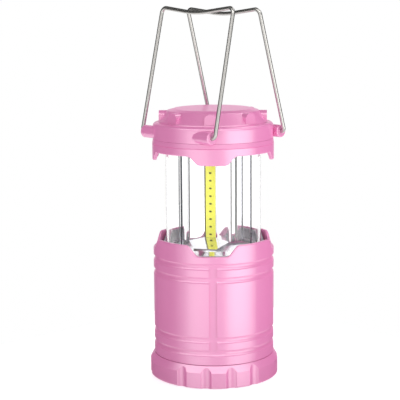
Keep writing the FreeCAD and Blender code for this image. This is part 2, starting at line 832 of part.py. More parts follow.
def star(inset, apothem, low, high):
    """Three round-ended wings, drawn in by inset, round a core whose flats carry the light boards."""
    reach = WING_REACH - inset
    bend = WING_ROUND - inset
    half = WING_THICKNESS / 2 - inset
    outline = [(0, -half, 0), (reach, -half, bend), (reach, half, bend), (0, half, 0)]
    corners = [(Vector(x, y, low), radius) for x, y, radius in outline]
    wings = copies_about_z(face_of(corners).extrude(Vector(0, 0, high - low)), wing_angles)
    corner = 2 * apothem
    points = [Vector(x, y, low) for x, y in at_angles(corner, wing_angles)]
    core = Part.Face(Part.makePolygon(points + points[:1])).extrude(Vector(0, 0, high - low))
    return core.common(cylinder(reach, low, high)).fuse(wings).removeSplitter()


def floor_hill(inset):
    """Three-sided hill that falls away from the light boards, lowered by inset."""
    fall = floor_peak - floor_brow
    run = fall / math.tan(math.radians(FLOOR_SLOPE_ANGLE))
    wires = []
    for apothem, height in ((floor_plateau + run, floor_brow), (floor_plateau, floor_peak)):
        corner = apothem / math.cos(math.pi / WING_COUNT)
        points = [Vector(x, y, height - inset) for x, y in at_angles(corner, wing_angles)]
        wires.append(Part.makePolygon(points + points[:1]))
    return Part.makeLoft(wires, True, True)


def floor_prism(inset, low, high):
    """Upright six-sided prism round the mirror floor's hill, its narrow sides in front of the boards."""
    reach = floor_front - inset
    half_side = FLOOR_FRONT_WIDTH / 2 - inset * math.tan(math.pi / WING_COUNT / 2)
    half_angle = math.degrees(math.atan2(half_side, reach))
    angles = [angle + turn for angle in light_angles for turn in (-half_angle, half_angle)]
    points = [Vector(x, y, low) for x, y in at_angles(math.hypot(reach, half_side), angles)]
    return Part.Face(Part.makePolygon(points + points[:1])).extrude(Vector(0, 0, high - low))


def make_mirror_floor():
    """Three-sided mirror floor with a six-sided brow, a sloping edge and a skirt on the carriage."""
    hill = floor_hill(0).common(floor_prism(0, floor_brow, floor_peak))
    hollow = floor_hill(FLOOR_SKIN).common(floor_prism(FLOOR_SKIN, floor_brow - FLOOR_SKIN, floor_peak))
    inner = floor_radius - FLOOR_SKIN
    edge_inner = WING_REACH - 2 * FLOOR_SKIN
    edge = spun([
        (edge_inner, floor_brow, 0),
        (floor_brow_radius, floor_brow, 0),
        (floor_radius, floor_edge, 0),
        (floor_radius, carriage_floor, 0),
        (inner, carriage_floor, 0),
        (inner, floor_edge - FLOOR_SKIN, 0),
        (floor_brow_radius - FLOOR_SKIN, floor_brow - FLOOR_SKIN, 0),
        (edge_inner, floor_brow - FLOOR_SKIN, 0),
    ])
    solid = hill.cut(hollow).fuse(edge)
    cutters = [cylinder(LEAD_HOLE, floor_brow, floor_peak + LAP)]
    return solid.cut(cutters).removeSplitter()


def board_seat(angle):
    """Cutter for one light board's seat in the column, with a slot for its feed wire on one side."""
    half = BOARD_WIDTH / 2 + BOARD_SEAT_GAP
    seat = block(board_back, strip_apothem + LAP, -half - WIRE_SLOT, half, floor_brow, ceiling_bottom)
    return turned_about_z(seat, angle)


def make_mirror_column():
    """Hollow three-winged mirror column between the floor and the ceiling."""
    outer = star(0, strip_apothem, floor_brow, ceiling_bottom)
    inner = star(WING_SKIN, board_back - WING_SKIN, floor_brow, ceiling_bottom)
    hill = floor_hill(0)
    column = outer.cut(inner)
    bosses = []
    bores = []
    for x, y in at_angles(wing_screw_circle, wing_angles):
        bosses.append(cylinder(WING_THICKNESS / 2 - WING_SKIN / 2, floor_brow, ceiling_bottom, x, y))
        bores.append(cylinder(SCREW_RADIUS + SCREW_PLAY, floor_brow, ceiling_bottom, x, y))
    seats = [board_seat(angle) for angle in light_angles]
    column = column.fuse(bosses).cut([hill] + bores + seats)
    return column.removeSplitter()


def light_board(angle):
    """One light board in its seat in the column between two wings."""
    board = block(
        board_back,
        strip_apothem,
        -BOARD_WIDTH / 2,
        BOARD_WIDTH / 2,
        floor_peak + BOARD_FOOT_GAP,
        ceiling_bottom - BOARD_END_GAP,
    )
    return turned_about_z(board, angle)


def light_strip(angle):
    """Yellow light strip cast on one board, with rounded long edges."""
    low = floor_peak + BOARD_FOOT_GAP
    high = ceiling_bottom - BOARD_END_GAP - PHOSPHOR_MARGIN
    half = PHOSPHOR_WIDTH / 2
    bend = PHOSPHOR_THICKNESS / 2
    outline = [
        (strip_apothem, -half, 0),
        (floor_plateau, -half, bend),
        (floor_plateau, half, bend),
        (strip_apothem, half, 0),
    ]
    corners = [(Vector(x, y, low), radius) for x, y, radius in outline]
    return turned_about_z(face_of(corners).extrude(Vector(0, 0, high - low)), angle)


def make_mirror_ceiling():
    """Mirror disc over the tube with a boss for the driver board."""
    disc = cylinder(flange_radius, ceiling_bottom, ceiling_top)
    boss_inner = ceiling_boss_radius - CEILING_BOSS_WALL
    boss = ring(boss_inner, ceiling_boss_radius, ceiling_top - CEILING_THICKNESS / 2, board_bottom())
    cutters = [cylinder(LEAD_HOLE, ceiling_bottom - LAP, ceiling_top + LAP)]
    places = at_angles(post_circle, post_angles) + at_angles(wing_screw_circle, wing_angles)
    bore = SCREW_RADIUS + SCREW_PLAY
    for x, y in places:
        cutters.append(cylinder(bore, ceiling_bottom - LAP, board_bottom() + LAP, x, y))
    return disc.fuse(boss).cut(cutters).removeSplitter()


def make_driver_board():
    """Driver board with its resistors, notched for the screws below it."""
    low = board_bottom()
    board = cylinder(BOARD_DISC_RADIUS, low, low + BOARD_DISC_THICKNESS)
    top = low + BOARD_DISC_THICKNESS
    chip = block(
        CHIP_OFFSET - CHIP_LENGTH / 2,
        CHIP_OFFSET + CHIP_LENGTH / 2,
        -CHIP_WIDTH / 2,
        CHIP_WIDTH / 2,
        low + BOARD_DISC_THICKNESS / 2,
        top + CHIP_HEIGHT,
    )
    chips = copies_about_z(chip, light_angles)
    cutters = []
    for x, y in at_angles(wing_screw_circle, wing_angles):
        cutters.append(cylinder(SCREW_HEAD_RADIUS + SEAM_GAP, low - LAP, top + LAP, x, y))
    return board.fuse(chips).cut(cutters).removeSplitter()


def make_column_screws():
    """Three screws from the ceiling down into the column's wings."""
    screws = []
    for x, y in at_angles(wing_screw_circle, wing_angles):
        shank = cylinder(SCREW_RADIUS, ceiling_bottom - SCREW_BITE, ceiling_top + SCREW_HEAD, x, y)
        head = cylinder(SCREW_HEAD_RADIUS, ceiling_top, ceiling_top + SCREW_HEAD, x, y)
        screws.append(shank.fuse(head).removeSplitter())
    return group(screws)


def make_ceiling_screws():
    """Screws up through the ceiling into the top cap's posts."""
    screws = []
    for x, y in at_angles(post_circle, post_angles):
        shank = cylinder(SCREW_RADIUS, ceiling_bottom - SCREW_HEAD, ceiling_top + SCREW_BITE, x, y)
        head = cylinder(SCREW_HEAD_RADIUS, ceiling_bottom - SCREW_HEAD, ceiling_bottom, x, y)
        screws.append(shank.fuse(head).removeSplitter())
    return group(screws)


def make_skirt_ring():
    """Lower ring of the head with its inner web and four hanging lobes."""
    inner = body_radius - SKIRT_WALL
    bevel_foot = skirt_top - SKIRT_BEVEL_HEIGHT
    skirt = spun([
        (inner, skirt_bottom, EDGE_ROUND),
        (body_radius, skirt_bottom, 0),
        (body_radius, bevel_foot - SKIRT_LINE_HEIGHT / 2, 0),
        (body_radius - SKIRT_LINE_DEPTH, bevel_foot, 0),
        (body_radius, bevel_foot + SKIRT_LINE_HEIGHT / 2, 0),
        (head_radius, skirt_top, SEAM_ROUND),
        (inner, skirt_top, 0),
        (inner, web_top, 0),
        (tube_radius + TUBE_SEAT_GAP, web_top, 0),
        (tube_radius + TUBE_SEAT_GAP, web_bottom, 0),
        (inner, web_bottom, 0),
    ])
    tongue = lobe_prism(
        LOBE_ROOT_HALF,
        LOBE_TIP_HALF,
        skirt_bottom,
        skirt_bottom - lobe_depth,
    )
    wall = ring(inner, body_radius, skirt_bottom - lobe_depth - LAP, skirt_bottom + LAP)
    lobes = [wall.common(cutter) for cutter in copies_about_z(tongue, QUARTERS)]
    skirt = skirt.fuse(lobes).removeSplitter()
    rims = outer_edges(skirt, skirt_bottom - lobe_depth - LAP, skirt_bottom + LAP)
    skirt = skirt.makeFillet(LOBE_ROUND, rims)
    cutters = []
    for x, y in at_angles(head_screw_circle, head_screw_angles):
        cutters.append(cylinder(SCREW_RADIUS + SCREW_PLAY, web_bottom - LAP, web_top + LAP, x, y))
    return skirt.cut(cutters)


def make_head_screws():
    """Screws up through the skirt's web into the top cap's bosses."""
    screws = []
    for x, y in at_angles(head_screw_circle, head_screw_angles):
        shank = cylinder(SCREW_RADIUS, web_bottom - SCREW_HEAD, web_top + SCREW_BITE, x, y)
        head = cylinder(SCREW_HEAD_RADIUS, web_bottom - SCREW_HEAD, web_bottom, x, y)
        screws.append(shank.fuse(head).removeSplitter())
    return group(screws)


def crown_grip():
    """Upright grip with a rounded top that stands on the cone, pointing along +X."""
    half = GRIP_WIDTH / 2
    top = cone_foot + GRIP_HEIGHT
    low = shoulder_top - HEAD_WALL / 2
    outline = [(-half, low, 0), (half, low, 0), (half, top, GRIP_ROUND), (-half, top, GRIP_ROUND)]
    corners = [(Vector(crown_radius, across, height), bend) for across, height, bend in outline]
    reach = cone_foot_radius - GRIP_SETBACK - crown_radius
    return face_of(corners).extrude(Vector(reach, 0, 0))


def ear(x_side, y_side):
    """One ear along X that grows out of the head's wall."""
    start = Vector(x_side * ear_face, y_side * ear_offset, ear_height)
    root = math.sqrt(head_inner ** 2 - (ear_offset + EAR_RADIUS) ** 2)
    length = ear_face - root
    body = Part.makeCylinder(EAR_RADIUS, length, start, Vector(-x_side, 0, 0))
    rims = [edge for edge in body.Edges if abs(edge.CenterOfMass.x - start.x) < TOUCH]
    return body.makeFillet(EAR_EDGE_ROUND, rims)


def ear_bore(x_side, y_side):
    """Blind hole for the handle's pin in one ear."""
    start = Vector(x_side * (ear_face + LAP), y_side * ear_offset, ear_height)
    depth = LAP + PIN_DEPTH + PIN_END_GAP
    return Part.makeCylinder(pin_bore, depth, start, Vector(-x_side, 0, 0))


def make_top_cap():
    """Top of the head with its stepped crown, grips, ears, bosses and posts."""
    outer = spun([
        (0, head_bottom, 0),
        (head_radius, head_bottom, SEAM_ROUND),
        (head_radius, shoulder_top, SHOULDER_ROUND),
        (cone_foot_radius + CROWN_STEP / 2, shoulder_top, 0),
        (cone_foot_radius, cone_foot, 0),
        (cone_top_radius, cone_top, CROWN_ROUND),
        (crown_radius, crown, CROWN_ROUND),
        (0, crown, 0),
    ])
    hollow = spun([
        (0, head_bottom - LAP, 0),
        (head_inner, head_bottom - LAP, 0),
        (head_inner, shoulder_top - HEAD_WALL, SHOULDER_ROUND / 2),
        (cone_foot_radius - HEAD_WALL, shoulder_top - HEAD_WALL, 0),
        (cone_top_radius - HEAD_WALL, crown - HEAD_WALL - CROWN_BEVEL_HEIGHT, 0),
        (0, crown - HEAD_WALL - CROWN_BEVEL_HEIGHT, 0),
    ])
    corners = [(x_side, y_side) for x_side in (-1, 1) for y_side in (-1, 1)]
    ears = [ear(x_side, y_side) for x_side, y_side in corners]
    turns = [GRIP_TURN_ANGLE + FULL_TURN / GRIP_COUNT * step for step in range(GRIP_COUNT)]
    grips = copies_about_z(crown_grip(), turns)
    head = outer.fuse(ears + grips).cut(hollow)
    supports = []
    bores = [ear_bore(x_side, y_side) for x_side, y_side in corners]
    for x, y in at_angles(head_screw_circle, head_screw_angles):
        supports.append(cylinder(boss_radius, web_top, shoulder_top - HEAD_WALL / 2, x, y))
        bores.append(cylinder(SCREW_RADIUS + SCREW_PLAY, web_top - LAP, web_top + SCREW_BITE, x, y))
    for x, y in at_angles(post_circle, post_angles):
        supports.append(cylinder(post_radius, ceiling_top, cone_top, x, y))
        bores.append(cylinder(SCREW_RADIUS + SCREW_PLAY, ceiling_top - LAP, ceiling_top + SCREW_BITE, x, y))
    return head.fuse(supports).cut(bores).removeSplitter()


def make_handle(y_side, lean):
    """Wire handle in the ears of one side, leaning inwards from upright."""
    foot = ear_face + LEG_GAP + WIRE_RADIUS
    pin_end = ear_face - PIN_DEPTH
    shoulder = foot - LEG_DRAW_IN
    right = [
        (Vector(pin_end, 0, 0), 0),
        (Vector(foot, 0, 0), HANDLE_FOOT_ROUND),
        (Vector(shoulder, 0, HANDLE_HEIGHT), HANDLE_CORNER_ROUND),
    ]
    middle = [(Vector(0, 0, HANDLE_HEIGHT - BAR_DIP), BAR_DIP_ROUND)]
    left = [(Vector(-point.x, 0, point.z), bend) for point, bend in reversed(right)]
    path = Part.Wire(rounded_edges(right + middle + left, False))
    section = Part.Wire(Part.makeCircle(WIRE_RADIUS, Vector(pin_end, 0, 0), Vector(1, 0, 0)))
    wire = path.makePipeShell([section], True, False)
    wire.rotate(ORIGIN, Vector(1, 0, 0), y_side * lean)
    wire.translate(Vector(0, y_side * ear_offset, ear_height))
    return wire


def main():
    """Build every node and write it."""
    os.makedirs("parts", exist_ok=True)
    export("body_shell", make_body_shell())
    export("inner_sleeve", make_inner_sleeve())
    export("leaf_contacts", make_leaf_contacts())
    export("supply_leads", make_supply_leads())
    export("battery_tray", make_battery_tray())
    export("tray_screws", make_tray_screws())
    export("cells", make_cells())
    export("contact_sheets", make_contact_sheets())
    export("coil_contacts", make_coil_contacts())
    print("coil contact: least gap between turns", round(coil_self_gap(), 3), "mm")
    export("base_cap", make_base_cap())
    export("seal_ring", make_seal_ring())
    export("carriage", make_carriage())
    export("contact_studs", make_contact_studs())
    export("contact_strips", make_contact_strips())
    export("column_leads", make_column_leads())
    export("clear_tube", make_clear_tube())
    export("guide_rails", make_guide_rails())
    export("mirror_floor", make_mirror_floor())
    export("mirror_column", make_mirror_column())
    for index, angle in enumerate(light_angles, start=1):
        export("light_board_" + str(index), light_board(angle))
        export("light_strip_" + str(index), light_strip(angle))
    export("mirror_ceiling", make_mirror_ceiling())
    export("driver_board", make_driver_board())
    export("column_screws", make_column_screws())
    export("ceiling_screws", make_ceiling_screws())
    export("skirt_ring", make_skirt_ring())
    export("head_screws", make_head_screws())
    export("top_cap", make_top_cap())
    export("front_handle", make_handle(-1, FRONT_LEAN_ANGLE))
    export("rear_handle", make_handle(1, REAR_LEAN_ANGLE))


main()
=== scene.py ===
import logging
import math
from dataclasses import dataclass, field
from enum import Enum
from typing import Any, Iterable, Sequence

import bpy
from mathutils import Matrix, Vector


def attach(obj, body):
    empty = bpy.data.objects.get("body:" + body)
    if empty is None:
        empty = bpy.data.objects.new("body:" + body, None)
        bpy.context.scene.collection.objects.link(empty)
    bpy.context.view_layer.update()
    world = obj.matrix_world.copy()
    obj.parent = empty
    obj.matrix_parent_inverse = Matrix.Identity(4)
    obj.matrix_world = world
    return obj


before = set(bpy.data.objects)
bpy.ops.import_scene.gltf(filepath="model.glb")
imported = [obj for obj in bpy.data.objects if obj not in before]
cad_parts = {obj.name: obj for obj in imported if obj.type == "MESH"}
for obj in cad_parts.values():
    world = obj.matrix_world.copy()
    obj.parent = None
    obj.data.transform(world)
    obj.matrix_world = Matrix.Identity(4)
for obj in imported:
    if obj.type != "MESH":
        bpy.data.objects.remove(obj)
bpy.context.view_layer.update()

LOG = logging.getLogger("lantern")
MM = 0.001
WHITE = "#FFFFFF"
# The sRGB curve: a straight foot up to the knee, and a power over it.
SRGB_KNEE, SRGB_SLOPE, SRGB_OFFSET, SRGB_POWER = 0.04045, 12.92, 0.055, 2.4
# Least cosine between two directions that count as the same.
SAME_WAY = 0.99
Tree = bpy.types.ShaderNodeTree
Node = bpy.types.Node
Piece = bpy.types.Object


class Part(Enum):
    """The lantern's bodies, which move against each other."""

    BASE = "base"
    CAP = "base_cap"
    HEAD = "head"
    FRONT_HANDLE = "front_handle"
    REAR_HANDLE = "rear_handle"


class Pick(Enum):
    """What an edit picks on a mesh."""

    VERTICES = "VERT"
    EDGES = "EDGE"
    FACES = "FACE"


def linear(hex_colour: str) -> tuple[float, float, float, float]:
    """Turn an sRGB hex colour to linear light.

    Args:
        hex_colour: Six hex digits after a hash.

    Returns:
        Red, green, blue and an alpha of one.
    """
    parts = [int(hex_colour[place:place + 2], 16) / 255 for place in (1, 3, 5)]
    low = [part / SRGB_SLOPE for part in parts]
    high = [((part + SRGB_OFFSET) / (1 + SRGB_OFFSET)) ** SRGB_POWER for part in parts]
    red, green, blue = [a if part <= SRGB_KNEE else b for part, a, b in zip(parts, low, high)]
    return red, green, blue, 1.0


def add_node(tree: Tree, kind: str, inputs: dict[Any, Any] | None = None, **settings: Any) -> Node:
    """Add a node, with its settings, its plain values and its links.

    Args:
        tree: The node tree that gets it.
        kind: The node's type, without the leading ShaderNode.
        inputs: Values or output sockets by input name or place.
        settings: Properties of the node.

    Returns:
        The new node.
    """
    node = tree.nodes.new("ShaderNode" + kind)
    for key, value in settings.items():
        setattr(node, key, value)
    for key, value in (inputs or {}).items():
        if isinstance(value, bpy.types.NodeSocket):
            tree.links.new(value, node.inputs[key])
        else:
            node.inputs[key].default_value = value
    return node


def per_metre(size_mm: float) -> float:
    """Texture scale that draws one feature of a noise each size_mm."""
    return 1.0 / (size_mm * MM)


@dataclass(frozen=True)
class Finish:
    """A surface finish that makes one material.

    Attributes:
        name: The material's common name and how its surface was made.
    """

    name: str

    def begin(self) -> tuple[bpy.types.Material, Tree, Any]:
        """Start a node material.

        Returns:
            The material, its empty tree and the Object coordinates.
        """
        material = bpy.data.materials.new(self.name)
        material.use_nodes = True
        tree = material.node_tree
        tree.nodes.clear()
        place = add_node(tree, "TexCoord").outputs["Object"]
        return material, tree, place

    @staticmethod
    def end(tree: Tree, surface: Any) -> None:
        """Link the last shader to the output."""
        add_node(tree, "OutputMaterial", {"Surface": surface})


@dataclass(frozen=True)
class MouldedPlastic(Finish):
    """ABS or a like plastic, injection moulded in a spark-eroded tool.

    The eye gets an even colour with very faint clouds, a soft broad highlight and a grit too fine
    to count.

    Attributes:
        deep: Colour where the pigment lies thick.
        pale: Colour where it lies thin.
        roughness: Middle roughness.
        specular: Strength of the dielectric highlight.
        index: Refractive index, raised where mica in the plastic lifts the sheen.
        grit_mm: Size of the tool's grit, drawn coarser than real so that it shows.
        grit_depth_mm: Height of the grit.
        cloud_mm: Width of the pigment clouds, as the melt spreads from the gate.
        swing: How far the grit moves the roughness.
    """

    deep: str
    pale: str
    roughness: float = 0.42
    specular: float = 0.5
    index: float = 1.54
    grit_mm: float = 0.7
    grit_depth_mm: float = 0.006
    cloud_mm: float = 30.0
    swing: float = 0.03

    def make(self) -> bpy.types.Material:
        """Build the material.

        Returns:
            The node material.
        """
        material, tree, place = self.begin()
        cloud = add_node(
            tree,
            "TexNoise",
            {"Vector": place, "Scale": per_metre(self.cloud_mm), "Detail": 3.0},
        )
        colour = add_node(
            tree,
            "Mix",
            {"Factor": cloud.outputs[0], "A": linear(self.deep), "B": linear(self.pale)},
            data_type="RGBA",
        )
        grit = add_node(
            tree,
            "TexNoise",
            {"Vector": place, "Scale": per_metre(self.grit_mm), "Detail": 2.0},
        )
        rough = add_node(
            tree,
            "MapRange",
            {
                "Value": grit.outputs[0],
                "To Min": self.roughness - self.swing,
                "To Max": self.roughness + self.swing,
            },
        )
        bump = add_node(
            tree,
            "Bump",
            {"Height": grit.outputs[0], "Strength": 0.5, "Distance": self.grit_depth_mm * MM},
        )
        shader = add_node(
            tree,
            "BsdfPrincipled",
            {
                "Base Color": colour.outputs["Result"],
                "Roughness": rough.outputs[0],
                "Normal": bump.outputs[0],
                "Specular IOR Level": self.specular,
                "IOR": self.index,
            },
        )
        self.end(tree, shader.outputs[0])
        return material


@dataclass(frozen=True)
class ClearPlastic(Finish):
    """Clear polystyrene, injection moulded in a polished tool.

    The eye sees through it, with thin grey edges where the wall is seen along its length.

    Attributes:
        tint: Colour of the light that passes.
        roughness: Roughness of the polished wall.
        flow_mm: Width of the faint flow lines.
        index: Refractive index, under the plastic's usual 1.59 to match how little the wall bends
            what is behind it.
        swing: Share by which the flow lines move the roughness.
    """

    tint: str = "#FEFEFE"
    roughness: float = 0.02
    flow_mm: float = 9.0
    index: float = 1.35
    swing: float = 0.5

    def make(self) -> bpy.types.Material:
        """Build the material.

        Returns:
            The node material.
        """
        material, tree, place = self.begin()
        flow = add_node(
            tree,
            "TexNoise",
            {"Vector": place, "Scale": per_metre(self.flow_mm), "Detail": 1.0},
        )
        rough = add_node(
            tree,
            "MapRange",
            {
                "Value": flow.outputs[0],
                "To Min": self.roughness * (1 - self.swing),
                "To Max": self.roughness * (1 + self.swing),
            },
        )
        glass = add_node(
            tree,
            "BsdfPrincipled",
            {
                "Base Color": linear(self.tint),
                "Roughness": rough.outputs[0],
                "Transmission Weight": 1.0,
                "IOR": self.index,
            },
        )
        # Lamps shine through the wall on to what stands inside it.
        through = add_node(tree, "BsdfTransparent", {"Color": linear(self.tint)})
        path = add_node(tree, "LightPath")
        mixed = add_node(
            tree,
            "MixShader",
            {"Fac": path.outputs["Is Shadow Ray"], 1: glass.outputs[0], 2: through.outputs[0]},
        )
        self.end(tree, mixed.outputs[0])
        return material


@dataclass(frozen=True)
class PlatedMirror(Finish):
    """Plastic, vacuum metallised to a bright mirror.

    The eye sees sharp but slightly wavy reflections, because the plating follows the moulding
    under it.

    Attributes:
        colour: Colour of the metal.
        roughness: Roughness of the plating.
        wave_mm: Width of the waves in the moulding.
        wave_depth_mm: Height of the waves.
        swing: Share by which the waves move the roughness.
    """

    colour: str = "#FAFAFB"
    roughness: float = 0.06
    wave_mm: float = 6.0
    wave_depth_mm: float = 0.012
    swing: float = 0.3

    def make(self) -> bpy.types.Material:
        """Build the material.

        Returns:
            The node material.
        """
        material, tree, place = self.begin()
        wave = add_node(
            tree,
            "TexNoise",
            {"Vector": place, "Scale": per_metre(self.wave_mm), "Detail": 1.0},
        )
        bump = add_node(
            tree,
            "Bump",
            {"Height": wave.outputs[0], "Strength": 0.6, "Distance": self.wave_depth_mm * MM},
        )
        rough = add_node(
            tree,
            "MapRange",
            {
                "Value": wave.outputs[0],
                "To Min": self.roughness * (1 - self.swing),
                "To Max": self.roughness * (1 + self.swing),
            },
        )
        shader = add_node(
            tree,
            "BsdfPrincipled",
            {
                "Base Color": linear(self.colour),
                "Metallic": 1.0,
                "Roughness": rough.outputs[0],
                "Normal": bump.outputs[0],
            },
        )
        self.end(tree, shader.outputs[0])
        return material


@dataclass(frozen=True)
class DrawnMetal(Finish):
    """Steel or brass wire and strip, drawn or rolled and then plated.

    The eye sees bright and dark streaks, softened by fine marks of the drawing.

    Attributes:
        bright: Colour of the clean plating.
        dull: Colour where it is handled or tarnished.
        roughness: Middle roughness.
        mark_mm: Size of the marks, drawn coarser than real so that they show.
        swing: Share by which the marks move the roughness.
    """

    bright: str
    dull: str
    roughness: float = 0.18
    mark_mm: float = 2.5
    swing: float = 0.3

    def make(self) -> bpy.types.Material:
        """Build the material.

        Returns:
            The node material.
        """
        material, tree, place = self.begin()
        mark = add_node(
            tree,
            "TexNoise",
            {"Vector": place, "Scale": per_metre(self.mark_mm), "Detail": 4.0},
        )
        colour = add_node(
            tree,
            "Mix",
            {"Factor": mark.outputs[0], "A": linear(self.bright), "B": linear(self.dull)},
            data_type="RGBA",
        )
        rough = add_node(
            tree,
            "MapRange",
            {
                "Value": mark.outputs[0],
                "To Min": self.roughness * (1 - self.swing),
                "To Max": self.roughness * (1 + self.swing),
            },
        )
        shader = add_node(
            tree,
            "BsdfPrincipled",
            {
                "Base Color": colour.outputs["Result"],
                "Metallic": 1.0,
                "Roughness": rough.outputs[0],
            },
        )
        self.end(tree, shader.outputs[0])
        return material


class Workshop:
    """Bench tools: operators on the piece in hand."""

    @staticmethod
    def clear() -> None:
        """Deselect everything, so that an operator acts on the new piece alone."""
        if bpy.context.object and bpy.context.object.mode != "OBJECT":
            bpy.ops.object.mode_set(mode="OBJECT")
        bpy.ops.object.select_all(action="DESELECT")

    @staticmethod
    def edit(pick: Pick = Pick.VERTICES) -> None:
        """Enter edit mode with nothing selected.

        Args:
            pick: What is to be picked.
        """
        bpy.ops.object.mode_set(mode="EDIT")
        bpy.ops.mesh.select_mode(type=pick.value)
        bpy.ops.mesh.select_all(action="DESELECT")

    @staticmethod
    def pick_faces(normal: Vector) -> None:
        """Select the faces that look one way, in edit mode.

        Args:
            normal: The way they look.
        """
        bpy.ops.object.mode_set(mode="OBJECT")
        for polygon in bpy.context.object.data.polygons:
            polygon.select = polygon.normal.dot(normal) > SAME_WAY
        bpy.ops.object.mode_set(mode="EDIT")
        bpy.ops.mesh.select_mode(type=Pick.FACES.value)

    @staticmethod
    def done(name: str) -> Piece:
        """Leave edit mode, put the place into the mesh and name the piece.

        Args:
            name: The piece's name.

        Returns:
            The finished object, at the origin.
        """
        if bpy.context.object.mode != "OBJECT":
            bpy.ops.object.mode_set(mode="OBJECT")
        bpy.ops.object.transform_apply(location=True, rotation=True, scale=True)
        piece = bpy.context.object
        piece.name = name
        piece.data.name = name
        return piece

    @staticmethod
    def copies(piece: Piece, places: Iterable[Matrix]) -> list[Piece]:
        """Copy a piece to several places, each copy with its own mesh.

        Args:
            piece: The piece, which stays where it is.
            places: The move of each copy.

        Returns:
            The copies.
        """
        made = []
        for place in places:
            copy = piece.copy()
            copy.data = piece.data.copy()
            copy.data.transform(place)
            bpy.context.scene.collection.objects.link(copy)
            made.append(copy)
        return made

    @staticmethod
    def join(pieces: Sequence[Piece], name: str) -> Piece:
        """Join pieces into one.

        Args:
            pieces: What is joined.
            name: The joined piece's name.

        Returns:
            The joined object.
        """
        Workshop.clear()
        for piece in pieces:
            piece.select_set(True)
        bpy.context.view_layer.objects.active = pieces[0]
        bpy.ops.object.join()
        joined = bpy.context.object
        joined.name = name
        joined.data.name = name
        return joined

    @staticmethod
    def dress(piece: Piece, material: bpy.types.Material) -> None:
        """Give a piece one material in all its slots.

        Args:
            piece: A new piece or a node's object.
            material: Its finish.
        """
        if not piece.material_slots:
            piece.data.materials.append(material)
        for slot in piece.material_slots:
            slot.material = material

    @staticmethod
    def fit(piece: Piece, material: bpy.types.Material, body: Part, slot: str) -> None:
        """Dress a new piece, let it ride on its body and report it.

        Args:
            piece: The new piece.
            material: Its finish.
            body: The CAD body it moves with.
            slot: Not used.
        """
        Workshop.dress(piece, material)
        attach(piece, body.value)
        LOG.info("%s rides on %s with %d faces", piece.name, body.value, len(piece.data.polygons))

    @staticmethod
    def dress_nodes(nodes: Iterable[str], material: bpy.types.Material) -> None:
        """Dress CAD nodes and report each.

        Args:
            nodes: The nodes' names.
            material: Their finish.
        """
        for node in nodes:
            Workshop.dress(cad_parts[node], material)
            LOG.info("%s dressed as %s", node, material.name)


